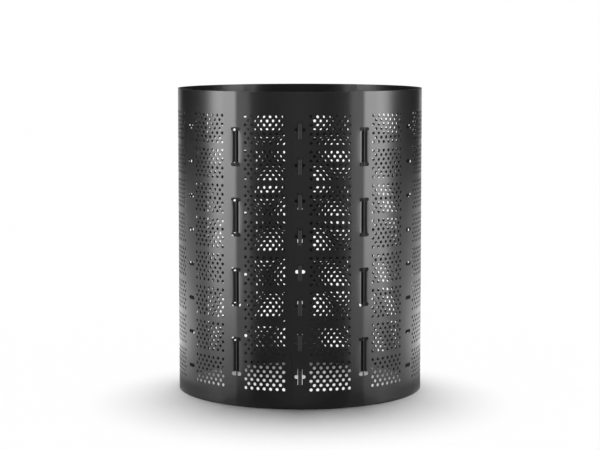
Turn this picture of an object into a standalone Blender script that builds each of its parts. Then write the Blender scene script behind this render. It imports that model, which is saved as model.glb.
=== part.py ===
# Perforated steel compost bin: three identical wall sheets lapped into a ring,
# three locking bars that hook the laps together, and six stay rods down the folds.
# Metres, +Z up. The axis of the bin is the Z axis, it stands on z = 0, and its front faces -Y.
# Run it from Blender's text editor, or with: blender --background --python part.py

import math

import bmesh
import bpy
from mathutils import Matrix, Vector

# Wall
BIN_HEIGHT = 0.900
FOLD_RADIUS = 0.365  # from the axis to the outer corner of a fold
SHEET_COUNT = 3
FOLDS_PER_SHEET = 2
SECTOR_TURN = math.radians(61)  # how far the arc through two folds and the slots between them turns
SHEET_THICKNESS = 0.0012
LAP_MARGIN = 0.0224  # how far a sheet runs past the centre line of its lap
LAP_END_CLEARANCE = 0.0016  # from the end of a sheet to the next bend of the sheet behind it
RUNNING_GAP = 0.0003  # between two pieces that touch or slide

# Rows of slots, the same in every column
SLOT_PITCH = 0.100
FIRST_SLOT_HEIGHT = 0.094
TOP_MARGIN = 0.106  # least height of plain sheet above the centre of the last slot
SLOT_LENGTH = 0.031
SLOT_HEIGHT = 0.011
SLOT_END = 0.0025  # length of the taper at each end of a slot

# Upright stem of the cross-shaped cut-outs in a lap
STEM_WIDTH = 0.014
STEM_HEIGHT = 0.046

# Blocks of perforation, one beside each slot. A few large openings stand for the many small holes
BLOCK_HEIGHT = 0.083
BLOCK_TO_COLUMN = 0.0349  # from the edge of a block to the centre line of the slots
BLOCK_TO_FOLD = 0.0345
BLOCK_OFFSET = -0.0075  # all the blocks of a sheet lie this far round from the middle of their panels
HOLE_COLUMN_PITCH = 0.030
HOLE_ROW_PITCH = 0.0415
HOLE_WIDTH = 0.0265
HOLE_HEIGHT = 0.041

# Strips between two slots of a fold, pressed inwards so that a rod passes in front of them
PRESS_SHOULDER = 0.0035  # width of the gentle slope at each side
PRESS_SHOULDER_DROP = 0.0009
PRESS_FLANK = 0.003  # width of the steep slope

# Stay rods
ROD_RADIUS = 0.002
ROD_TO_RIM = 0.012
ROD_BEND_RADIUS = 0.008
ROD_TAIL = 0.016  # straight part of the finger grip, after the bend

# Locking bars
BAR_WIDTH = 0.012
BAR_THICKNESS = 0.003
BAR_END = 0.040  # how far a bar runs past its last hook
HOOK_LIP = 0.0025  # how far a hook reaches down over the outer sheet
HOOK_LIP_THICKNESS = 0.0016
HOOK_ROUND = 0.0012
BAR_LIFT = 0.005  # travel that frees the hooks
LIFT_CLEARANCE = 0.0005

SNAP = 1e-6

SECTOR_ANGLE = math.tau / (SHEET_COUNT * FOLDS_PER_SHEET)
SECTOR_RADIUS = FOLD_RADIUS * math.sin(SECTOR_ANGLE / 2) / math.sin(SECTOR_TURN / 2)
SECTOR_LENGTH = SECTOR_RADIUS * SECTOR_TURN  # round the outside of the wall
SECTOR_SETBACK = SECTOR_RADIUS * math.cos(SECTOR_TURN / 2) - FOLD_RADIUS * math.cos(SECTOR_ANGLE / 2)
LAP_TO_CENTRE = FOLDS_PER_SHEET * SECTOR_LENGTH / 2
HALF_BLANK = LAP_TO_CENTRE + LAP_MARGIN
COLUMN_FLAT = LAP_MARGIN + LAP_END_CLEARANCE  # half of the flat facet that carries a column of slots
LAP_STEP = SHEET_THICKNESS + RUNNING_GAP

ROD_DEPTH = SHEET_THICKNESS + RUNNING_GAP + ROD_RADIUS  # rod's centre line behind the outside of the wall
PRESS_DEPTH = ROD_DEPTH + ROD_RADIUS + RUNNING_GAP
PRESS_HALF_WIDTH = SLOT_LENGTH / 2 - SLOT_END

SLOT_ROWS = 1 + int((BIN_HEIGHT - FIRST_SLOT_HEIGHT - TOP_MARGIN) / SLOT_PITCH + SNAP)
SLOT_HEIGHTS = [FIRST_SLOT_HEIGHT + row * SLOT_PITCH for row in range(SLOT_ROWS)]
FOLD_STATIONS = [(k - (FOLDS_PER_SHEET - 1) / 2) * SECTOR_LENGTH for k in range(FOLDS_PER_SHEET)]
LAP_STATIONS = [-LAP_TO_CENTRE, LAP_TO_CENTRE]
PLAIN_STATIONS = [k * SECTOR_LENGTH - LAP_TO_CENTRE for k in range(1, FOLDS_PER_SHEET)]


def clear_scene():
    for obj in list(bpy.data.objects):
        bpy.data.objects.remove(obj)


def make_material(name, colour, roughness, metallic):
    material = bpy.data.materials.new(name)
    material.use_nodes = True
    shader = material.node_tree.nodes["Principled BSDF"]
    shader.inputs["Base Color"].default_value = (*colour, 1)
    shader.inputs["Roughness"].default_value = roughness
    shader.inputs["Metallic"].default_value = metallic
    material.diffuse_color = (*colour, 1)
    return material


def make_plate(outlines, thickness):
    """A flat plate, standing for what is cut from sheet: the first outline is its edge, the others its holes."""
    curve = bpy.data.curves.new("plate", "CURVE")
    curve.dimensions = "2D"
    curve.fill_mode = "BOTH"
    curve.extrude = thickness / 2
    for outline in outlines:
        spline = curve.splines.new("POLY")
        spline.points.add(len(outline) - 1)
        for point, (x, y) in zip(spline.points, outline):
            point.co = (x, y, 0, 1)
        spline.use_cyclic_u = True
    guide = bpy.data.objects.new("plate", curve)
    bpy.context.scene.collection.objects.link(guide)
    bpy.context.view_layer.update()
    mesh = bpy.data.meshes.new_from_object(guide.evaluated_get(bpy.context.evaluated_depsgraph_get()))
    work = bmesh.new()
    work.from_mesh(mesh)
    bmesh.ops.remove_doubles(work, verts=work.verts, dist=SNAP)
    bpy.data.objects.remove(guide)
    bpy.data.curves.remove(curve)
    bpy.data.meshes.remove(mesh)
    return work


# Outlines in the flat blank: x runs round the wall to the right, y runs up it


def rectangle(left, right, low, high):
    return [(left, low), (right, low), (right, high), (left, high)]


def slot_outline(x, y):
    half_length, half_height = SLOT_LENGTH / 2, SLOT_HEIGHT / 2
    straight = half_length - SLOT_END
    corners = [(-half_length, 0), (-straight, -half_height), (straight, -half_height)]
    return [(x + u, y + v) for u, v in corners] + [(x - u, y - v) for u, v in corners]


def notched_outline(bend, fold, side):
    """Panel beside a fold, from a bend up to the strips, with the ends of the fold's slots notched into its edge."""
    edge = fold + side * PRESS_HALF_WIDTH
    outline = [(bend, BIN_HEIGHT), (bend, 0), (edge, 0)]
    for height in SLOT_HEIGHTS:
        notch = [(edge, -SLOT_HEIGHT / 2), (fold + side * SLOT_LENGTH / 2, 0), (edge, SLOT_HEIGHT / 2)]
        outline += [(x, height + y) for x, y in notch]
    return outline + [(edge, BIN_HEIGHT)]


def cross_outline(x, y):
    arm, half_arm = SLOT_LENGTH / 2, SLOT_HEIGHT / 2
    half_stem, stem = STEM_WIDTH / 2, STEM_HEIGHT / 2
    quarter = [(half_stem, -stem), (half_stem, -half_arm), (arm, -half_arm)]
    lower = quarter + [(u, -v) for u, v in reversed(quarter)]
    return [(x + u, y + v) for u, v in lower] + [(x - u, y - v) for u, v in lower]


def diamond_outline(x, y):
    half_width, half_height = HOLE_WIDTH / 2, HOLE_HEIGHT / 2
    return [(x - half_width, y), (x, y - half_height), (x + half_width, y), (x, y + half_height)]


def hole_columns():
    """Distances of the columns of holes, and of the bends between them, from the nearest column of slots."""
    width = SECTOR_LENGTH / 2 - BLOCK_TO_COLUMN - BLOCK_TO_FOLD
    count = max(2, round(width / HOLE_COLUMN_PITCH))
    pitch = width / count
    columns = [BLOCK_TO_COLUMN + (k + 0.5) * pitch for k in range(count)]
    bends = [BLOCK_TO_COLUMN + k * pitch for k in range(1, count)]
    return columns, bends


def block_outlines(station, side, columns):
    """Staggered openings of the blocks on one side of a column of slots: each row starts one column further on."""
    rows = max(1, round(BLOCK_HEIGHT / HOLE_ROW_PITCH))
    outlines = []
    for height in SLOT_HEIGHTS:
        for row in range(rows):
            y = height + (row - (rows - 1) / 2) * HOLE_ROW_PITCH
            outlines += [diamond_outline(station + side * x + BLOCK_OFFSET, y) for x in columns[row % 2 :: 2]]
    return outlines


def opening_outlines():
    """Every opening but the slots of the folds."""
    columns, _ = hole_columns()
    outlines = [slot_outline(x, y) for x in PLAIN_STATIONS for y in SLOT_HEIGHTS]
    outlines += [cross_outline(x, y) for x in LAP_STATIONS for y in SLOT_HEIGHTS]
    for station in LAP_STATIONS + PLAIN_STATIONS:
        for side in (-1, 1):
            if abs(station + side * columns[0]) < LAP_TO_CENTRE:
                outlines += block_outlines(station, side, columns)
    return outlines


def bend_stations():
    """Where the flat blank is bent between the folds, from its left edge to its right edge.

    The last facet on each side of a fold is wide, as the sheet stays flat there.
    """
    _, block_bends = hole_columns()
    stations = []
    for centre in LAP_STATIONS + PLAIN_STATIONS:
        for side in (-1, 1):
            stations.append(centre + side * COLUMN_FLAT)
            stations += [centre + side * bend + BLOCK_OFFSET for bend in block_bends]
    return sorted(s for s in stations if abs(s) < HALF_BLANK)


# Plan of the bent wall


def wall_point(station):
    """Point in plan on the outside of the wall, with the middle of the sheet towards -Y."""
    sector = round((station + LAP_TO_CENTRE) / SECTOR_LENGTH) - FOLDS_PER_SHEET / 2
    turn = (station - sector * SECTOR_LENGTH) / SECTOR_RADIUS
    across = SECTOR_RADIUS * math.sin(turn)
    outwards = SECTOR_RADIUS * math.cos(turn) - SECTOR_SETBACK
    point = Matrix.Rotation(sector * SECTOR_ANGLE, 2) @ Vector((across, -outwards))
    spiral = -station / (LAP_TO_CENTRE - COLUMN_FLAT)  # the left end lies outside the next sheet
    return point * (1 + max(-1, min(1, spiral)) * LAP_STEP / 2 / point.length)


def section_through(points):
    """The inside and outside of a wall bent at these (station, plan point) pairs, mitred at each bend."""
    stations = [station for station, _ in points]
    outer = [point for _, point in points]
    normals = []
    for start, end in zip(outer, outer[1:]):
        along = (end - start).normalized()
        normals.append(Vector((along.y, -along.x)))
    inner = []
    for k, point in enumerate(outer):
        before, after = normals[max(0, k - 1)], normals[min(k, len(normals) - 1)]
        inner.append(point - (before + after) * SHEET_THICKNESS / (1 + before.dot(after)))
    return stations, outer, inner


def section_at(section, station, depth):
    """Plan point of the section, at a depth of 0 on its outside to 1 on its inside."""
    stations, outer, inner = section
    k = 0
    while k < len(stations) - 2 and station > stations[k + 1]:
        k += 1
    share = (station - stations[k]) / (stations[k + 1] - stations[k])
    return outer[k].lerp(outer[k + 1], share).lerp(inner[k].lerp(inner[k + 1], share), depth)


def flush_section():
    """The whole wall. Its last facets run past the blank's ends, so that those lie in the plane of the lap."""
    end = LAP_TO_CENTRE + COLUMN_FLAT
    stations = sorted([-end, *bend_stations(), *FOLD_STATIONS, end])
    return section_through([(station, wall_point(station)) for station in stations])


def pressed_section(flush, fold):
    """Section through the pressed strips of one fold: a shoulder, a steep flank and a flat bottom behind the rod."""
    corner = wall_point(fold)
    inwards = -corner.normalized()
    steps = [(0, 0), (PRESS_SHOULDER, PRESS_SHOULDER_DROP), (PRESS_SHOULDER + PRESS_FLANK, PRESS_DEPTH)]
    points = []
    for side in (-1, 1):
        for inset, depth in steps[::-side]:
            station = fold + side * (PRESS_HALF_WIDTH - inset)
            point = section_at(flush, station, 0)
            if depth:  # counted from the fold's corner, because the rod is straight and the wall is not
                point += inwards * (depth - (point - corner).dot(inwards))
            points.append((station, point))
    stations, outer, inner = section_through(points)
    for end in (0, -1):  # both ends run on into the flush wall
        inner[end] = section_at(flush, stations[end], 1)
    return stations, outer, inner


def wall_panels():
    """The flat pieces between bends, as (outlines, section) pairs."""
    flush = flush_section()
    openings = opening_outlines()
    lines = [-HALF_BLANK, *bend_stations(), HALF_BLANK]
    for left, right in zip(lines, lines[1:]):
        inside = [outline for outline in openings if left < outline[0][0] < right]
        fold = next((x for x in FOLD_STATIONS if left < x < right), None)
        if fold is None:
            yield [rectangle(left, right, 0, BIN_HEIGHT), *inside], flush
            continue
        yield [notched_outline(left, fold, -1), *(hole for hole in inside if hole[0][0] < fold)], flush
        yield [notched_outline(right, fold, 1), *(hole for hole in inside if hole[0][0] > fold)], flush
        pressed = pressed_section(flush, fold)
        edge = PRESS_HALF_WIDTH
        lows = [0] + [height + SLOT_HEIGHT / 2 for height in SLOT_HEIGHTS]
        highs = [height - SLOT_HEIGHT / 2 for height in SLOT_HEIGHTS] + [BIN_HEIGHT]
        for k, (low, high) in enumerate(zip(lows, highs)):
            # Every second strip between two slots is pressed in, from the lowest pair of slots up
            is_pressed = k % 2 == 1 and k < SLOT_ROWS
            stations = pressed[0] if is_pressed else [fold - edge, fold, fold + edge]
            for start, end in zip(stations, stations[1:]):
                yield [rectangle(start, end, low, high)], pressed if is_pressed else flush


def make_wall_mesh():
    """One wall sheet, joined from panels that are cut flat and then bent into place."""
    mesh = bpy.data.meshes.new("wall_sheet")
    wall = bmesh.new()
    for outlines, section in wall_panels():
        panel = make_plate(outlines, SHEET_THICKNESS)
        sides = [x for x, _ in outlines[0]]
        seams = [x for x in (min(sides), max(sides)) if abs(x) < HALF_BLANK - SNAP]
        joints = [
            face
            for face in panel.faces
            if any(all(abs(vert.co.x - seam) < SNAP for vert in face.verts) for seam in seams)
        ]
        bmesh.ops.delete(panel, geom=joints, context="FACES_ONLY")
        for vert in panel.verts:
            plan = section_at(section, vert.co.x, 0.5 - vert.co.z / SHEET_THICKNESS)
            vert.co = (plan.x, plan.y, vert.co.y)
        panel.to_mesh(mesh)
        panel.free()
        wall.from_mesh(mesh)
    bmesh.ops.remove_doubles(wall, verts=wall.verts, dist=SNAP)
    bmesh.ops.recalc_face_normals(wall, faces=wall.faces)
    wall.to_mesh(mesh)
    wall.free()
    return mesh


def make_rod_curve():
    """A straight rod that stands on the ground, with its top bent inwards as a finger grip."""
    top = BIN_HEIGHT - ROD_TO_RIM - ROD_RADIUS
    bend_start = top - ROD_BEND_RADIUS
    points = [(0, 0, 0)]
    bend_steps = 4
    for step in range(bend_steps + 1):
        turn = math.pi / 2 * step / bend_steps
        inwards = ROD_BEND_RADIUS * (1 - math.cos(turn))
        points.append((0, inwards, bend_start + ROD_BEND_RADIUS * math.sin(turn)))
    points.append((0, ROD_BEND_RADIUS + ROD_TAIL, top))
    curve = bpy.data.curves.new("stay_rod", "CURVE")
    curve.dimensions = "3D"
    curve.twist_mode = "MINIMUM"
    curve.bevel_depth = ROD_RADIUS
    curve.bevel_resolution = 2
    curve.use_fill_caps = True
    spline = curve.splines.new("POLY")
    spline.points.add(len(points) - 1)
    for point, co in zip(spline.points, points):
        point.co = (*co, 1)
    return curve


def make_bar_mesh():
    """A flat bar with one hook for each cross-shaped cut-out, drawn from the side: x is outwards, y is up."""
    reach = 2 * (SHEET_THICKNESS + RUNNING_GAP) + RUNNING_GAP  # from the bar's face to the inside of a lip
    face = reach + HOOK_LIP_THICKNESS
    side = [(-BAR_THICKNESS, SLOT_HEIGHTS[-1] + BAR_END), (-BAR_THICKNESS, SLOT_HEIGHTS[0] - BAR_END)]
    side.append((0, SLOT_HEIGHTS[0] - BAR_END))
    for height in SLOT_HEIGHTS:
        sill = height - STEM_HEIGHT / 2 + RUNNING_GAP
        lip = height - STEM_HEIGHT / 2 - HOOK_LIP
        head = height + STEM_HEIGHT / 2 - BAR_LIFT - LIFT_CLEARANCE
        side += [(0, sill), (reach, sill), (reach, lip), (face, lip), (face, head), (0, head)]
    side.append((0, SLOT_HEIGHTS[-1] + BAR_END))
    work = make_plate([side], BAR_WIDTH)
    # Stands the bar up: x outwards becomes -Y, y becomes Z, and the width lies along X
    work.transform(Matrix(((0, 0, 1, 0), (-1, 0, 0, 0), (0, 1, 0, 0), (0, 0, 0, 1))))
    bmesh.ops.recalc_face_normals(work, faces=work.faces)
    front = []
    for edge in work.edges:
        start, end = (vert.co for vert in edge.verts)
        if abs(start.y + face) < SNAP and abs(end.y + face) < SNAP and abs(start.x - end.x) < SNAP:
            front.append(edge)
    bmesh.ops.bevel(work, geom=front, offset=HOOK_ROUND, segments=1, affect="EDGES", clamp_overlap=True)
    mesh = bpy.data.meshes.new("locking_bar")
    work.to_mesh(mesh)
    work.free()
    return mesh


def add_part(name, data, collection, material, radius, azimuth):
    """Places a piece at a distance from the axis, turned about it. Azimuth 0 is the front."""
    part = bpy.data.objects.new(name, data)
    part.location = (radius * math.sin(azimuth), -radius * math.cos(azimuth), 0)
    part.rotation_euler.z = azimuth
    if not data.materials:
        data.materials.append(material)
    collection.objects.link(part)
    return part


def main():
    clear_scene()
    collection = bpy.data.collections.new("compost_bin")
    bpy.context.scene.collection.children.link(collection)

    wall_paint = make_material("satin_black_wall", (0.020, 0.020, 0.021), 0.38, 0)
    rod_paint = make_material("satin_black_rod", (0.016, 0.016, 0.017), 0.42, 0)
    bar_paint = make_material("satin_black_bar", (0.030, 0.030, 0.031), 0.40, 0)

    wall = make_wall_mesh()
    sheet_angle = math.tau / SHEET_COUNT
    for k in range(SHEET_COUNT):
        add_part(f"wall_sheet_{k + 1}", wall, collection, wall_paint, 0, (k + 0.5) * sheet_angle)

    rod = make_rod_curve()
    for k in range(SHEET_COUNT * FOLDS_PER_SHEET):
        azimuth = (k + 0.5) * SECTOR_ANGLE
        # A fold lies a little in or out along the spiral of its own sheet
        station = FOLD_STATIONS[k % FOLDS_PER_SHEET]
        radius = wall_point(station).length - ROD_DEPTH
        add_part(f"stay_rod_{k + 1}", rod, collection, rod_paint, radius, azimuth)

    bar = make_bar_mesh()
    inner_face = wall_point(LAP_TO_CENTRE - COLUMN_FLAT)
    inner_face.rotate(Matrix.Rotation(-sheet_angle / 2, 2))
    bar_radius = -inner_face.y - SHEET_THICKNESS - RUNNING_GAP
    for k in range(SHEET_COUNT):
        add_part(f"locking_bar_{k + 1}", bar, collection, bar_paint, bar_radius, k * sheet_angle)


main()
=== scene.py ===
# Compost bin of perforated sheet steel: the looks of its walls, rods and bars, and the studio around it
# Every piece is modelled once and copied round the bin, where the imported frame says

import math

import bmesh
import bpy
from mathutils import Matrix, Vector


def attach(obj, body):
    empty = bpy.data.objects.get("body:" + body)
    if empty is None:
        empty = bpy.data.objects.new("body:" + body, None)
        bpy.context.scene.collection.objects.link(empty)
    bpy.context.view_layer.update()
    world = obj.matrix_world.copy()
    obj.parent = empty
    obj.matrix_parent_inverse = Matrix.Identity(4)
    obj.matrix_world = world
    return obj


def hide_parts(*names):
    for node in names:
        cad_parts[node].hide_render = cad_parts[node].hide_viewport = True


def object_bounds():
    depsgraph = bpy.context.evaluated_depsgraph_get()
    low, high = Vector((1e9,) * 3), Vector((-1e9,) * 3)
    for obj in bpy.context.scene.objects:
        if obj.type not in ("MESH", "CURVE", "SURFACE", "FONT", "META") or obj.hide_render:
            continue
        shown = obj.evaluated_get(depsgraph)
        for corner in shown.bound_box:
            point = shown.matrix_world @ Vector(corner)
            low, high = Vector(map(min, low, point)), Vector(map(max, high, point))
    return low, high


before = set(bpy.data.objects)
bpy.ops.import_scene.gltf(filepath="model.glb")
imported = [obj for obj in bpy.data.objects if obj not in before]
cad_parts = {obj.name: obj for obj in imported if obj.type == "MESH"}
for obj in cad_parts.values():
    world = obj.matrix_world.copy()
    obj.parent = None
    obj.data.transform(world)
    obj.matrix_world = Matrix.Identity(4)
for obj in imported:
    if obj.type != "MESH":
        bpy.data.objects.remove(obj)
cadLow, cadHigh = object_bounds()
print("frame loaded:", len(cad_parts), "nodes")

tiny = 0.0002     # picks vertices by their place
sliver = 0.00002  # edges shorter than this are closed up


# Modelling helpers

def selectOnly(obj):
    if bpy.context.mode != "OBJECT":
        bpy.ops.object.mode_set(mode="OBJECT")
    bpy.ops.object.select_all(action="DESELECT")
    obj.select_set(True)
    bpy.context.view_layer.objects.active = obj


def startEdit(obj, mode="VERT"):
    selectOnly(obj)
    bpy.ops.object.mode_set(mode="EDIT")
    bpy.ops.mesh.select_mode(type=mode)
    bpy.ops.mesh.select_all(action="DESELECT")


def endEdit():
    bpy.ops.object.mode_set(mode="OBJECT")


# Selects the vertices, edges or faces of the mesh in edit mode that pass a test of their middle
def pick(kind, test):
    work = bmesh.from_edit_mesh(bpy.context.edit_object.data)
    for item in (*work.faces, *work.edges, *work.verts):
        item.select = False
    count = 0
    for item in getattr(work, kind):
        if kind == "verts":
            middle = item.co
        else:
            middle = sum((v.co for v in item.verts), Vector()) / len(item.verts)
        if test(middle, item):
            item.select = True
            count += 1
    if kind == "verts":
        work.select_flush(True)
    else:
        work.select_flush_mode()
    bmesh.update_edit_mesh(bpy.context.edit_object.data)
    return count


def between(low, value, high):
    return low - tiny < value < high + tiny


def cutAcross(place, direction):
    bpy.ops.mesh.bisect(plane_co=place, plane_no=direction)


# Applies the modifiers and the object's place, so that the piece's place is in its mesh
def finishShape(obj, smoothAngle=30):
    selectOnly(obj)
    for modifier in list(obj.modifiers):
        bpy.ops.object.modifier_apply(modifier=modifier.name)
    bpy.ops.object.transform_apply(location=True, rotation=True, scale=True)
    startEdit(obj)
    bpy.ops.mesh.select_all(action="SELECT")
    bpy.ops.mesh.dissolve_degenerate(threshold=sliver)
    endEdit()
    bpy.ops.object.shade_smooth_by_angle(angle=math.radians(smoothAngle))


# A copy with its own mesh, moved and then turned about the bin's axis
def copyRound(source, name, angle, move=(0, 0, 0)):
    piece = source.copy()
    piece.data = source.data.copy()
    piece.name = piece.data.name = name
    bpy.context.scene.collection.objects.link(piece)
    piece.data.transform(Matrix.Rotation(angle, 4, "Z") @ Matrix.Translation(move))
    return piece


# Paint

coat = {
    "peelDetail": 3,
    "peelRoughness": 0.45,
    "flowScale": 9,
    "flowDetail": 5,
    "flowRoughness": 0.6,
    "dustColour": (0.1, 0.09, 0.08, 1),
    "dustTop": 0.22,              # above the ground
    "dustPatches": (0.42, 0.68),  # flow marks with no dust, and full of it
    "coolness": 1.04,             # blue beside red and green
}

# paint is a grey, gloss the roughness and change its range, peel a scale and relief its height
paints = {
    "wall": {"paint": 0.012, "gloss": 0.30, "change": 0.06, "peel": 650, "relief": 0.00002, "dust": 0.15},
    "rod": {"paint": 0.020, "gloss": 0.50, "change": 0.05, "peel": 900, "relief": 0.00001, "dust": 0.15},
    "bar": {"paint": 0.034, "gloss": 0.60, "change": 0.06, "peel": 800, "relief": 0.000015, "dust": 0.10},
}


def addNode(tree, kind, place, **values):
    node = tree.nodes.new(kind)
    node.location = place
    for key, value in values.items():
        setattr(node, key, value)
    return node


# Orange peel, faint flow marks and dust low down, as a node group for all the painted steel
def powderCoatGroup():
    group = bpy.data.node_groups.new("powderCoat", "ShaderNodeTree")
    for name, kind in (
        ("Paint", "NodeSocketColor"),
        ("Dust", "NodeSocketColor"),
        ("Dust Amount", "NodeSocketFloat"),
        ("Gloss", "NodeSocketFloat"),
        ("Gloss Change", "NodeSocketFloat"),
        ("Peel Size", "NodeSocketFloat"),
    ):
        group.interface.new_socket(name, in_out="INPUT", socket_type=kind)
    for name, kind in (
        ("Color", "NodeSocketColor"),
        ("Roughness", "NodeSocketFloat"),
        ("Height", "NodeSocketFloat"),
    ):
        group.interface.new_socket(name, in_out="OUTPUT", socket_type=kind)
    links = group.links
    inputs = addNode(group, "NodeGroupInput", (-900, 0))
    outputs = addNode(group, "NodeGroupOutput", (700, 0))
    where = addNode(group, "ShaderNodeTexCoord", (-900, -300))

    peel = addNode(group, "ShaderNodeTexNoise", (-500, -500))
    peel.inputs["Detail"].default_value = coat["peelDetail"]
    peel.inputs["Roughness"].default_value = coat["peelRoughness"]
    links.new(where.outputs["Object"], peel.inputs["Vector"])
    links.new(inputs.outputs["Peel Size"], peel.inputs["Scale"])

    flow = addNode(group, "ShaderNodeTexNoise", (-500, -200))
    flow.inputs["Scale"].default_value = coat["flowScale"]
    flow.inputs["Detail"].default_value = coat["flowDetail"]
    flow.inputs["Roughness"].default_value = coat["flowRoughness"]
    links.new(where.outputs["Object"], flow.inputs["Vector"])

    # Roughness goes up and down a little with the flow of the coat
    change = addNode(group, "ShaderNodeMath", (-200, -120), operation="SUBTRACT")
    change.inputs[1].default_value = 0.5  # the middle of the noise
    links.new(flow.outputs["Fac"], change.inputs[0])
    scaled = addNode(group, "ShaderNodeMath", (0, -120), operation="MULTIPLY_ADD")
    links.new(change.outputs[0], scaled.inputs[0])
    links.new(inputs.outputs["Gloss Change"], scaled.inputs[1])
    links.new(inputs.outputs["Gloss"], scaled.inputs[2])

    # Dust settles low down and in patches
    axes = addNode(group, "ShaderNodeSeparateXYZ", (-700, 200))
    links.new(where.outputs["Object"], axes.inputs["Vector"])
    low = addNode(group, "ShaderNodeMapRange", (-500, 200), interpolation_type="SMOOTHSTEP")
    low.inputs["From Min"].default_value = coat["dustTop"]
    low.inputs["From Max"].default_value = 0
    links.new(axes.outputs["Z"], low.inputs["Value"])
    patches = addNode(group, "ShaderNodeMapRange", (-300, 0))
    clean, dusty = coat["dustPatches"]
    patches.inputs["From Min"].default_value = clean
    patches.inputs["From Max"].default_value = dusty
    links.new(flow.outputs["Fac"], patches.inputs["Value"])
    both = addNode(group, "ShaderNodeMath", (-100, 150), operation="MULTIPLY")
    links.new(low.outputs["Result"], both.inputs[0])
    links.new(patches.outputs["Result"], both.inputs[1])
    amount = addNode(group, "ShaderNodeMath", (80, 150), operation="MULTIPLY")
    links.new(both.outputs[0], amount.inputs[0])
    links.new(inputs.outputs["Dust Amount"], amount.inputs[1])
    mix = addNode(group, "ShaderNodeMix", (300, 200), data_type="RGBA")
    links.new(amount.outputs[0], mix.inputs["Factor"])
    links.new(inputs.outputs["Paint"], mix.inputs[6])
    links.new(inputs.outputs["Dust"], mix.inputs[7])

    links.new(mix.outputs[2], outputs.inputs["Color"])
    links.new(scaled.outputs[0], outputs.inputs["Roughness"])
    links.new(peel.outputs["Fac"], outputs.inputs["Height"])
    return group


def paintedSteel(name, group):
    look = paints[name]
    material = bpy.data.materials.new(name + "Paint")
    material.use_nodes = True
    tree = material.node_tree
    shader = tree.nodes["Principled BSDF"]
    layer = addNode(tree, "ShaderNodeGroup", (-400, 200), node_tree=group)
    grey = look["paint"]
    for socket, value in (
        ("Paint", (grey, grey, grey * coat["coolness"], 1)),
        ("Dust", coat["dustColour"]),
        ("Dust Amount", look["dust"]),
        ("Gloss", look["gloss"]),
        ("Gloss Change", look["change"]),
        ("Peel Size", look["peel"]),
    ):
        layer.inputs[socket].default_value = value
    bump = addNode(tree, "ShaderNodeBump", (-200, -200))
    bump.inputs["Strength"].default_value = 1
    bump.inputs["Distance"].default_value = look["relief"]
    tree.links.new(layer.outputs["Color"], shader.inputs["Base Color"])
    tree.links.new(layer.outputs["Roughness"], shader.inputs["Roughness"])
    tree.links.new(layer.outputs["Height"], bump.inputs["Height"])
    tree.links.new(bump.outputs["Normal"], shader.inputs["Normal"])
    return material


coatGroup = powderCoatGroup()
wallPaint = paintedSteel("wall", coatGroup)
rodPaint = paintedSteel("rod", coatGroup)
barPaint = paintedSteel("bar", coatGroup)
print("paint mixed")


# Wall sheet, in metres: drilled flat, pressed at the folds, then bent round the plan of the bin

sheet = {
    "count": 3,
    "height": cadHigh.z,
    "thickness": 0.0012,
    "radius": 0.365,              # axis to the outside of the wall
    "rolled": math.radians(22.5),  # half the rolled middle of a panel, flat from there to the fold
    "lapStep": 0.0015,            # one sheet and its clearance
    "lapMargin": 0.0224,          # past the middle of the lap
    "shearedEdge": (0.0010, 0.0004),  # how far in and how deep the shears draw in an upright edge
    "edgeCuts": (1, 1.6),         # cut lines beside it, in lengths of its first value
    "slotRows": 8,
    "firstSlot": 0.094,
    "slotPitch": 0.100,
    "slotHalf": (0.0160, 0.0055),  # half its length and half its height
    "slotStraight": 0.0105,       # half the straight part, before the round ends
    "slotCuts": (-1, -0.5, 0.5, 1),  # level cut lines of a slot, in half heights
    # three points of a quarter end: run and rise on the square end, degrees from the top on the round one
    "slotCorners": ((0.5, 1, 22.5), (1, 1, 45), (1, 0.5, 67.5)),
    "stemHalf": (0.007, 0.023),   # half the width and height of a cross's upright
    "holeRadius": 0.0047,
    "holeSegments": 3,            # of the bevel at a grid point, for each of its four quarters
    "holeProfile": 0.0858,        # bulges the bevel out to a round
    "holeToColumn": 0.0390,       # from the first hole to the middle of the slots, less the offset
    "blockOffset": -0.0075,       # all blocks lie this far round from the middle of their panels
    "holePitch": (0.0189, 0.0125),  # across and up
    "holesAcross": 7,
    "holesUp": 7,
    # a pressed strip from its flat bottom outwards: distance from the fold, depth
    "pressed": (
        (0.0030, 0.0058), (0.0065, 0.0041), (0.0093, 0.0009), (0.0105, 0.0007),
        (0.01325, 0.0005), (0.0160, 0.0003), (0.0250, 0),
    ),
    "pathStep": 0.0063,           # of the curve that bends the sheet
    "widestFacet": 0.010,
}

halfSector = math.pi / 6  # of turn about the axis, from a column of slots to a fold
rolledLength = sheet["radius"] * sheet["rolled"]
flatLength = 2 * sheet["radius"] * math.sin((halfSector - sheet["rolled"]) / 2)
sectorLength = 2 * (rolledLength + flatLength)
lapToMiddle = sectorLength  # the laps lie a sector away from the middle of the sheet
halfBlank = lapToMiddle + sheet["lapMargin"]
lapColumns = [-lapToMiddle, lapToMiddle]
foldColumns = [-sectorLength / 2, sectorLength / 2]
columns = sorted([*lapColumns, *foldColumns, 0])
slotHeights = [sheet["firstSlot"] + row * sheet["slotPitch"] for row in range(sheet["slotRows"])]


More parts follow.
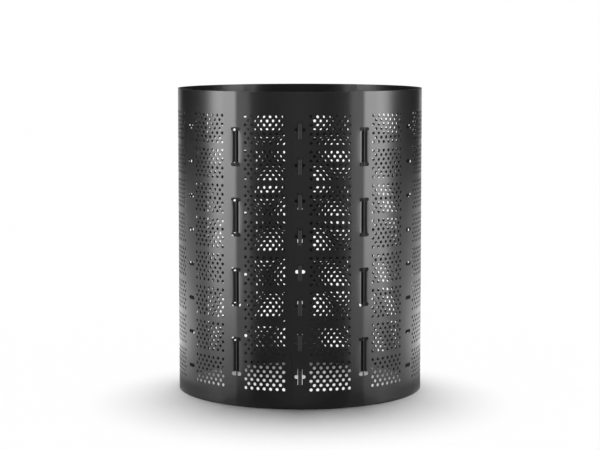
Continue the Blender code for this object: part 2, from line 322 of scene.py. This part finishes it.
# Where a distance round the sheet lies in plan. The sheet's left end lies outside, its right end inside
def planPoint(station):
    sector = round(station / sectorLength)
    offset = station - sector * sectorLength
    turn = max(-sheet["rolled"], min(sheet["rolled"], offset / sheet["radius"]))
    point = Vector((math.sin(turn), -math.cos(turn))) * sheet["radius"]
    if abs(offset) > rolledLength:
        heading = math.copysign((halfSector + sheet["rolled"]) / 2, offset)
        along = Vector((math.cos(heading), math.sin(heading)))
        point += along * (offset - math.copysign(rolledLength, offset))
    point.rotate(Matrix.Rotation(sector * 2 * halfSector, 2))
    share = max(-1, min(1, -station / (lapToMiddle - sheet["lapMargin"])))
    return point * (1 + share * sheet["lapStep"] / 2 / point.length)


# The plan as a curve. Its points lie either side of each fold, which rounds it
def planPath():
    steps = 2 * math.ceil(sectorLength / 2 / sheet["pathStep"])
    step = sectorLength / (steps + 1)
    count = math.ceil(halfBlank / step)
    stations = [-halfBlank, *[k * step for k in range(-count + 1, count)], halfBlank]
    curve = bpy.data.curves.new("planPath", "CURVE")
    curve.dimensions = "2D"
    spline = curve.splines.new("POLY")
    spline.points.add(len(stations) - 1)
    for point, station in zip(spline.points, stations):
        point.co = (*planPoint(station), 0, 1)
    path = bpy.data.objects.new("planPath", curve)
    bpy.context.scene.collection.objects.link(path)
    return path


# Each column of slots that a block of holes stands beside, and the side that it stands on
def blockSides():
    return [
        (column, side)
        for column in (*lapColumns, 0)
        for side in (-1, 1)
        if abs(column + side * sheet["holeToColumn"]) < lapToMiddle
    ]


# Middles of all the holes, in staggered rows of seven and six
def holeMiddles():
    pitch, rise = sheet["holePitch"]
    found = []
    for column, side in blockSides():
        for height in slotHeights:
            for row in range(sheet["holesUp"]):
                z = height + (row - (sheet["holesUp"] - 1) / 2) * rise
                short = row % 2
                for k in range(sheet["holesAcross"] - short):
                    run = sheet["holeToColumn"] + (k + short / 2) * pitch
                    found.append((column + side * run + sheet["blockOffset"], z))
    return found


# Upright and level lines that the flat sheet is cut along, where its holes, slots and bends lie
def cutLines():
    straight, halfLength = sheet["slotStraight"], sheet["slotHalf"][0]
    halfPitch = sheet["holePitch"][0] / 2
    needed = {-halfBlank, halfBlank}
    for share in sheet["edgeCuts"]:
        needed |= {side * (halfBlank - share * sheet["shearedEdge"][0]) for side in (-1, 1)}
    for column in columns:
        offsets = [0, straight, (straight + halfLength) / 2, halfLength]
        if column in lapColumns:
            offsets.append(sheet["stemHalf"][0])
        if column in foldColumns:
            offsets += [reach for reach, depth in sheet["pressed"]]
        needed |= {column + side * offset for offset in offsets for side in (-1, 1)}
    for column, side in blockSides():
        for k in range(-1, 2 * sheet["holesAcross"]):
            needed.add(column + side * (sheet["holeToColumn"] + k * halfPitch) + sheet["blockOffset"])
    needed = sorted(x for x in needed if abs(x) < halfBlank + tiny)
    upright = []
    for left, right in zip(needed, needed[1:]):
        facets = math.ceil((right - left) / sheet["widestFacet"])
        upright += [left + (right - left) * k / facets for k in range(facets)]
    level = set()
    for height in slotHeights:
        steps = (sheet["holesUp"] + 1) // 2
        level |= {height + k * sheet["holePitch"][1] for k in range(-steps, steps)}
    level.add((slotHeights[-1] + sheet["slotPitch"] / 2 + sheet["height"]) / 2)
    return upright[1:], sorted(z for z in level if z > tiny)


# The blank, standing in the plane y = 0 and cut along the lines
def makeBlank():
    height = sheet["height"]
    bpy.ops.mesh.primitive_plane_add(size=1, location=(0, 0, height / 2), rotation=(math.pi / 2, 0, 0))
    wall = bpy.context.object
    wall.scale = (2 * halfBlank, height, 1)
    bpy.ops.object.transform_apply(location=True, rotation=True, scale=True)
    upright, level = cutLines()
    startEdit(wall)
    for x in upright:
        bpy.ops.mesh.select_all(action="SELECT")
        cutAcross((x, 0, 0), (1, 0, 0))
    for z in level:
        bpy.ops.mesh.select_all(action="SELECT")
        cutAcross((0, 0, z), (0, 0, 1))
    return wall


# Slots and crosses: their edges are cut only beside them, then the middle comes out
def cutSlots():
    halfLength, halfHeight = sheet["slotHalf"]
    stemWidth, stemHeight = sheet["stemHalf"]
    rowRise = sheet["holePitch"][1]

    def cutBeside(height, offset, reach, width, places):
        pick("faces", lambda m, f: abs(m.z - height) < reach
             and any(abs(m.x - c) < width for c in places))
        cutAcross((0, 0, height + offset), (0, 0, 1))

    for height in slotHeights:
        for share in sheet["slotCuts"]:
            cutBeside(height, share * halfHeight, rowRise, halfLength, columns)
    for height in slotHeights:
        for side in (-1, 1):
            cutBeside(height, side * stemHeight, 2 * rowRise, stemWidth, lapColumns)

    def inSlot(m, f):
        rise = min(abs(m.z - height) for height in slotHeights)
        run = min(abs(m.x - c) for c in columns)
        lap = min(abs(m.x - c) for c in lapColumns)
        return (run < halfLength and rise < halfHeight) or (lap < stemWidth and rise < stemHeight)

    pick("faces", inSlot)
    bpy.ops.mesh.delete(type="FACE")


# The corners of each slot are drawn in to round its ends
def roundSlots():
    halfLength, halfHeight = sheet["slotHalf"]
    straight = sheet["slotStraight"]
    endLength = halfLength - straight
    for run, rise, turn in sheet["slotCorners"]:
        drawX = endLength * (math.sin(math.radians(turn)) - run)
        drawZ = halfHeight * (math.cos(math.radians(turn)) - rise)
        for sideX in (-1, 1):
            for sideZ in (-1, 1):
                placeX, placeZ = sideX * (straight + run * endLength), sideZ * rise * halfHeight
                pick("verts", lambda m, v: any(abs(m.x - c - placeX) < tiny for c in columns)
                     and any(abs(m.z - h - placeZ) < tiny for h in slotHeights))
                bpy.ops.transform.translate(value=(sideX * drawX, 0, sideZ * drawZ))


# Each grid point in the middle of a hole, found within a rounding step, is opened out to a ring
def drillHoles():
    def cell(x, z):
        return round(x / tiny), round(z / tiny)

    middles = {cell(x, z) for x, z in holeMiddles()}
    steps = (-1, 0, 1)
    near = {(a + i, b + j) for a, b in middles for i in steps for j in steps}
    found = pick("verts", lambda m, v: cell(m.x, m.z) in near)
    bpy.ops.mesh.bevel(
        offset=sheet["holeRadius"], segments=sheet["holeSegments"], profile=sheet["holeProfile"],
        affect="VERTICES", clamp_overlap=False,
    )
    bpy.ops.mesh.delete(type="FACE")
    print("holes drilled:", found)


# Every second strip between two slots of a fold is pressed in behind its rod
def pressFolds():
    halfHeight = sheet["slotHalf"][1]

    def onStrip(m, nearest, furthest):
        return any(between(nearest, abs(m.x - c), furthest) for c in foldColumns) and any(
            between(low + halfHeight, m.z, high - halfHeight)
            for low, high in zip(slotHeights[::2], slotHeights[1::2])
        )

    inner = 0
    for reach, depth in sheet["pressed"]:
        pick("verts", lambda m, v: onStrip(m, inner, reach))
        bpy.ops.transform.translate(value=(0, depth, 0))
        inner = reach + 2 * tiny


# The flat sheet gets its thickness and its sheared edges, and is bent round the plan
def bendSheet(wall):
    bpy.ops.mesh.select_all(action="SELECT")
    bpy.ops.transform.translate(value=(halfBlank, 0, 0))  # the bend counts from the left end
    endEdit()
    plate = wall.modifiers.new("thickness", "SOLIDIFY")
    plate.thickness = sheet["thickness"]
    plate.offset = -1
    plate.use_even_offset = True
    bpy.ops.object.modifier_apply(modifier="thickness")
    startEdit(wall)
    pick("verts", lambda m, v: abs(m.y) < tiny and (m.x < tiny or m.x > 2 * halfBlank - tiny))
    bpy.ops.transform.translate(value=(0, sheet["shearedEdge"][1], 0))
    endEdit()
    path = planPath()
    bend = wall.modifiers.new("bend", "CURVE")
    bend.object = path
    finishShape(wall)
    bpy.data.curves.remove(path.data)


def makeWallSheet():
    wall = makeBlank()
    cutSlots()
    roundSlots()
    drillHoles()
    pressFolds()
    bendSheet(wall)
    wall.data.materials.append(wallPaint)
    return wall


firstSheet = makeWallSheet()
for k in range(sheet["count"]):
    piece = copyRound(firstSheet, f"perforated_sheet_{k + 1}", (k + 0.5) * math.tau / sheet["count"])
    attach(piece, "wall")
    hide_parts(f"wall_sheet_{k + 1}")
bpy.data.objects.remove(firstSheet)
print("wall sheets bent:", len(piece.data.polygons), "faces each")


# Stay rods: a straight rod on the ground, with its top bent inwards as a finger grip

rod = {
    "sides": 16,
    "radius": 0.002,
    "belowRim": 0.012,
    "bendRadius": 0.008,
    "bendSteps": 10,
    "tail": 0.016,
    "tipRound": 0.0008,
    "tipSegments": 3,
    "smoothAngle": 40,
}


# The rod at the front, with its foot on the bin's axis and its grip towards +Y
def makeRod():
    bendStart = sheet["height"] - rod["belowRim"] - rod["radius"] - rod["bendRadius"]
    bpy.ops.mesh.primitive_circle_add(vertices=rod["sides"], radius=rod["radius"], fill_type="NGON")
    made = bpy.context.object
    startEdit(made, "FACE")
    bpy.ops.mesh.select_all(action="SELECT")
    bpy.ops.mesh.extrude_region_move(TRANSFORM_OT_translate={"value": (0, 0, bendStart)})
    bendMiddle = (0, rod["bendRadius"], bendStart)
    bpy.ops.mesh.spin(steps=rod["bendSteps"], angle=-math.pi / 2, center=bendMiddle, axis=(1, 0, 0))
    bpy.ops.mesh.extrude_region_move(TRANSFORM_OT_translate={"value": (0, rod["tail"], 0)})
    tipPlace = rod["bendRadius"] + rod["tail"]
    pick("edges", lambda m, e: all(abs(v.co.y - tipPlace) < tiny for v in e.verts))
    bpy.ops.mesh.bevel(offset=rod["tipRound"], segments=rod["tipSegments"], affect="EDGES")
    bpy.ops.mesh.select_all(action="SELECT")
    bpy.ops.mesh.remove_doubles(threshold=sliver)
    endEdit()
    finishShape(made, rod["smoothAngle"])
    made.data.materials.append(rodPaint)
    return made


firstRod = makeRod()
for k in range(2 * sheet["count"]):
    node = f"stay_rod_{k + 1}"
    lowest = [v.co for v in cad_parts[node].data.vertices if v.co.z < tiny]
    foot = sum(lowest, Vector()) / len(lowest)
    angle = (2 * k + 1) * halfSector
    piece = copyRound(firstRod, f"rod_{k + 1}", angle, (0, -foot.to_2d().length, 0))
    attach(piece, f"rod_{k + 1}")
    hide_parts(node)
bpy.data.objects.remove(firstRod)
print("rods bent")


# Locking bars: a flat bar with a hook through each cross, which hangs over the outer sheet

bar = {
    "width": 0.0115,
    "thickness": 0.003,
    "end": 0.040,            # past the outermost hooks
    "hookNarrow": 0.9,       # a hook's width beside the bar's
    "reach": 0.0033,         # from the bar to the inside of a hook's lip
    "lipThickness": 0.0016,
    "lipDrop": 0.0028,
    "sillGap": 0.0003,
    "headRoom": 0.0055,      # above a hook, for its lift
    "edgeRound": 0.0018,     # of a lip's lower edge
    "sideShare": 0.5,        # its sides and the bar's ends are rounded by less
    "endShare": 0.3,
    "edgeSegments": 3,
    "smoothAngle": 40,
}


# The bar at the front, with its face at y = 0 and its hooks towards -Y
def makeBar():
    low = slotHeights[0] - bar["end"]
    high = slotHeights[-1] + bar["end"]
    width, thick = bar["width"], bar["thickness"]
    bpy.ops.mesh.primitive_cube_add(size=1, location=(0, thick / 2, (low + high) / 2))
    made = bpy.context.object
    made.scale = (width, thick, high - low)
    bpy.ops.object.transform_apply(location=True, rotation=True, scale=True)
    startEdit(made, "FACE")
    stem = sheet["stemHalf"][1]
    sills = [height - stem + bar["sillGap"] for height in slotHeights]
    heads = [height + stem - bar["headRoom"] for height in slotHeights]
    for z in (*sills, *heads):
        bpy.ops.mesh.select_all(action="SELECT")
        cutAcross((0, 0, z), (0, 0, 1))

    def inHook(z):
        return any(sill < z < head for sill, head in zip(sills, heads))

    pick("faces", lambda m, f: abs(m.y) < tiny and f.normal.y < -0.9 and inHook(m.z))
    bpy.ops.mesh.extrude_region_move(TRANSFORM_OT_translate={"value": (0, -bar["reach"], 0)})
    bpy.ops.mesh.extrude_region_move(TRANSFORM_OT_translate={"value": (0, -bar["lipThickness"], 0)})
    pick("faces", lambda m, f: f.normal.z < -0.9 and m.y < -bar["reach"])
    bpy.ops.mesh.extrude_region_move(TRANSFORM_OT_translate={"value": (0, 0, -bar["lipDrop"])})
    pick("verts", lambda m, v: m.y < -tiny)
    bpy.ops.transform.resize(value=(bar["hookNarrow"], 1, 1))
    endEdit()
    selectOnly(made)
    front = -bar["reach"] - bar["lipThickness"]
    weights = made.data.attributes.new("bevel_weight_edge", "FLOAT", "EDGE")
    for edge in made.data.edges:
        a, b = (made.data.vertices[i].co for i in edge.vertices)
        level = abs(a.z - b.z) < tiny
        if max(abs(a.y - front), abs(b.y - front)) < tiny:
            weights.data[edge.index].value = 1 if level else bar["sideShare"]
        elif level and (a.z > high - tiny or a.z < low + tiny):
            weights.data[edge.index].value = bar["endShare"]
    edges = made.modifiers.new("edges", "BEVEL")
    edges.width = bar["edgeRound"]
    edges.segments = bar["edgeSegments"]
    edges.limit_method = "WEIGHT"
    finishShape(made, bar["smoothAngle"])
    made.data.materials.append(barPaint)
    return made


firstBar = makeBar()
for k in range(sheet["count"]):
    node = f"locking_bar_{k + 1}"
    middle = sum((v.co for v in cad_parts[node].data.vertices), Vector()).to_2d().normalized()
    back = min(v.co.to_2d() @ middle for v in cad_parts[node].data.vertices)
    angle = k * math.tau / sheet["count"]
    piece = copyRound(firstBar, f"bar_{k + 1}", angle, (0, -back - bar["thickness"], 0))
    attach(piece, f"bar_{k + 1}")
    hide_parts(node)
bpy.data.objects.remove(firstBar)
print("bars hooked in")


# Studio

studio = {
    "floorHalf": 30,
    "floorColour": 0.88,
    "floorRoughness": 0.9,
    "skyLight": 0.10,
    "topLight": 3.35,        # a broad light from above and a little behind
    "topTilt": 14,
    "topSpread": 31,
    "boxDistance": 2.2,
    "boxTurn": 69.5,         # degrees from the camera, left and right
    "boxWidth": 1.12,
    "boxParts": ((0, 0.6, 6.4), (0.6, 2.3, 8.8)),  # foot, top and level: fainter near the floor
    "bandSteps": 32,
    "drapeDistance": 3.6,
    "drapeTop": 4.0,
    "frontTurn": 60,         # the front drape ends here, the side drapes end further round
    "sideTurn": 147,
    "frontFoot": 0.01,
    "sideFoot": 0.28,
    "drapeLevels": ((0, 0.50), (12, 0.42), (25, 0.16), (50, 0.12), (90, 0.03), (180, 0.02)),
    "clothTurn": 40,         # the dark cloth on the floor in front reaches this far on each side
    "clothNear": 0.385,
    "clothLift": 0.004,
    "clothStrength": 0.6,    # as bright as this much of the drape behind it
    # the floor at the sides as gloss sees it, with a painted shadow near the bin and painted light
    # further out:
    # from, to, strength, and pairs of turn and level
    "sideFloorShadeAndLight": (
        (0.370, 0.48, 1, ((45, 0.7), (54, 0.6), (62, 0.4), (80, 0.28))),
        (0.80, 2.30, 2.0, ((42, 0.5), (54, 0.8), (66, 0.75), (78, 0.5), (92, 0.5), (108, 1))),
    ),
}


# 1 for the rays that show a background: seen, mirrored or through glass
def backgroundRays(tree, place):
    path = addNode(tree, "ShaderNodeLightPath", (place[0] - 400, place[1]))
    seen = addNode(tree, "ShaderNodeMath", (place[0] - 200, place[1]), operation="MAXIMUM")
    tree.links.new(path.outputs["Is Camera Ray"], seen.inputs[0])
    tree.links.new(path.outputs["Is Glossy Ray"], seen.inputs[1])
    seenToo = addNode(tree, "ShaderNodeMath", place, operation="MAXIMUM")
    tree.links.new(seen.outputs[0], seenToo.inputs[0])
    tree.links.new(path.outputs["Is Transmission Ray"], seenToo.inputs[1])
    return seenToo.outputs[0]


def makeFloor():
    bpy.ops.mesh.primitive_plane_add(size=2 * studio["floorHalf"], location=(0, 0, 0))
    floor = bpy.context.object
    floor.name = "floor"
    material = bpy.data.materials.new("floorPaper")
    material.use_nodes = True
    shader = material.node_tree.nodes["Principled BSDF"]
    pale = studio["floorColour"]
    shader.inputs["Base Color"].default_value = (pale, pale, pale, 1)
    shader.inputs["Roughness"].default_value = studio["floorRoughness"]
    shader.inputs["Specular IOR Level"].default_value = 0
    floor.data.materials.append(material)


def makeSky():
    world = bpy.data.worlds.new("studioSky")
    bpy.context.scene.world = world
    world.use_nodes = True
    tree = world.node_tree
    background = tree.nodes["Background"]
    background.inputs["Color"].default_value = (1, 1, 1, 1)
    level = addNode(tree, "ShaderNodeMapRange", (-200, 0))
    level.inputs["To Min"].default_value = studio["skyLight"]
    level.inputs["To Max"].default_value = 1
    tree.links.new(backgroundRays(tree, (-400, 0)), level.inputs["Value"])
    tree.links.new(level.outputs["Result"], background.inputs["Strength"])


def makeTopLight():
    light = bpy.data.lights.new("topLight", "SUN")
    light.energy = studio["topLight"]
    light.angle = math.radians(studio["topSpread"])
    lamp = bpy.data.objects.new("topLight", light)
    bpy.context.scene.collection.objects.link(lamp)
    lamp.rotation_euler = (math.radians(-studio["topTilt"]), 0, 0)
    lamp.visible_glossy = False


# Part of a tall softbox that gloss alone sees: it draws a highlight and adds no light to the floor
def makeSoftbox(name, turn, foot, top, level):
    light = bpy.data.lights.new(name, "AREA")
    light.shape = "RECTANGLE"
    light.size = studio["boxWidth"]
    light.size_y = top - foot
    light.energy = level * math.pi * light.size * light.size_y
    box = bpy.data.objects.new(name, light)
    bpy.context.scene.collection.objects.link(box)
    angle = math.radians(turn)
    away = studio["boxDistance"]
    box.location = (away * math.sin(angle), -away * math.cos(angle), (foot + top) / 2)
    box.rotation_euler = (math.pi / 2, 0, angle)
    box.visible_camera = False
    box.visible_diffuse = False


# Glows in a grey that changes with the turn from the camera, seen from the bin
def glowPaint(name, levels, strength):
    material = bpy.data.materials.new(name)
    material.use_nodes = True
    tree = material.node_tree
    shader = tree.nodes["Principled BSDF"]
    shader.inputs["Base Color"].default_value = (0, 0, 0, 1)
    shader.inputs["Specular IOR Level"].default_value = 0
    shader.inputs["Emission Strength"].default_value = strength
    where = addNode(tree, "ShaderNodeTexCoord", (-1200, 0))
    axes = addNode(tree, "ShaderNodeSeparateXYZ", (-1000, 0))
    tree.links.new(where.outputs["Object"], axes.inputs["Vector"])
    across = addNode(tree, "ShaderNodeMath", (-800, 100), operation="ABSOLUTE")
    tree.links.new(axes.outputs["X"], across.inputs[0])
    towards = addNode(tree, "ShaderNodeMath", (-800, -100), operation="MULTIPLY")
    towards.inputs[1].default_value = -1
    tree.links.new(axes.outputs["Y"], towards.inputs[0])
    turn = addNode(tree, "ShaderNodeMath", (-600, 0), operation="ARCTAN2")
    tree.links.new(across.outputs[0], turn.inputs[0])
    tree.links.new(towards.outputs[0], turn.inputs[1])
    share = addNode(tree, "ShaderNodeMath", (-450, 0), operation="DIVIDE")
    share.inputs[1].default_value = math.pi
    tree.links.new(turn.outputs[0], share.inputs[0])
    ramp = addNode(tree, "ShaderNodeValToRGB", (-300, 0))
    stops = ramp.color_ramp.elements
    while len(stops) < len(levels):
        stops.new(0.5)
    for stop, (degrees, level) in zip(stops, levels):
        stop.position = degrees / 180
        stop.color = (level, level, level, 1)
    tree.links.new(share.outputs[0], ramp.inputs["Fac"])
    tree.links.new(ramp.outputs["Color"], shader.inputs["Emission Color"])
    return material


# Drapes and floor that gloss alone sees: they cast no shadow and take no light away
def glossOnly(obj, levels, strength):
    obj.visible_camera = False
    obj.visible_diffuse = False
    obj.visible_transmission = False
    obj.visible_shadow = False
    obj.data.materials.append(glowPaint(obj.name, levels, strength))


# Spins an edge round the bin into a band. Each end is a distance from the axis and a height
def spinBand(name, start, end, fromTurn, toTurn, levels=studio["drapeLevels"], strength=1):
    bpy.ops.mesh.primitive_plane_add(size=1)
    band = bpy.context.object
    band.name = name
    startEdit(band)
    pick("verts", lambda m, v: m.y > 0)
    bpy.ops.mesh.delete(type="VERT")
    angle = math.radians(fromTurn)
    for x, (away, height) in ((-0.5, start), (0.5, end)):
        corner = Vector((x, -0.5, 0))
        place = Vector((away * math.sin(angle), -away * math.cos(angle), height))
        pick("verts", lambda m, v: (m - corner).length < tiny)
        bpy.ops.transform.translate(value=place - corner)
    bpy.ops.mesh.select_all(action="SELECT")
    sweep = math.radians(fromTurn - toTurn)
    bpy.ops.mesh.spin(steps=studio["bandSteps"], angle=sweep, center=(0, 0, 0), axis=(0, 0, 1))
    endEdit()
    glossOnly(band, levels, strength)


makeFloor()
makeSky()
makeTopLight()
for name, side in (("softboxLeft", -1), ("softboxRight", 1)):
    for k, part in enumerate(studio["boxParts"]):
        makeSoftbox(f"{name}{k + 1}", side * studio["boxTurn"], *part)
away, top = studio["drapeDistance"], studio["drapeTop"]
front, side = studio["frontTurn"], studio["sideTurn"]
spinBand("frontDrape", (away, studio["frontFoot"]), (away, top), -front, front)
spinBand("leftDrape", (away, studio["sideFoot"]), (away, top), -side, -front)
spinBand("rightDrape", (away, studio["sideFoot"]), (away, top), front, side)
turn, lift = studio["clothTurn"], studio["clothLift"]
near, strength = studio["clothNear"], studio["clothStrength"]
spinBand("cloth", (near, lift), (away, lift), -turn, turn, strength=strength)
# Painted shadow near the bin and painted light further out, on floor bands that only reflections show
for k, (near, far, strength, levels) in enumerate(studio["sideFloorShadeAndLight"]):
    spinBand(f"leftFloorShadeAndLight{k + 1}", (near, lift), (far, lift), -side, -turn, levels, strength)
    spinBand(f"rightFloorShadeAndLight{k + 1}", (near, lift), (far, lift), turn, side, levels, strength)
print("studio lit")


# Camera, as the photograph was taken

camera = {
    "place": (0, -5.402, 1.0862),
    "aim": (0, 0, 0.5953),
    "lens": 108.2,
    "sensorWidth": 36,
    "shiftDown": 0.06,       # keeps the upright lines nearly upright
}
optics = bpy.data.cameras.new("camera")
optics.lens = camera["lens"]
optics.sensor_width = camera["sensorWidth"]
optics.shift_y = -camera["shiftDown"]
viewer = bpy.data.objects.new("camera", optics)
bpy.context.scene.collection.objects.link(viewer)
viewer.location = camera["place"]
viewer.rotation_euler = (Vector(camera["aim"]) - viewer.location).to_track_quat("-Z", "Y").to_euler()
bpy.context.scene.camera = viewer
bpy.context.scene.view_settings.view_transform = "Standard"
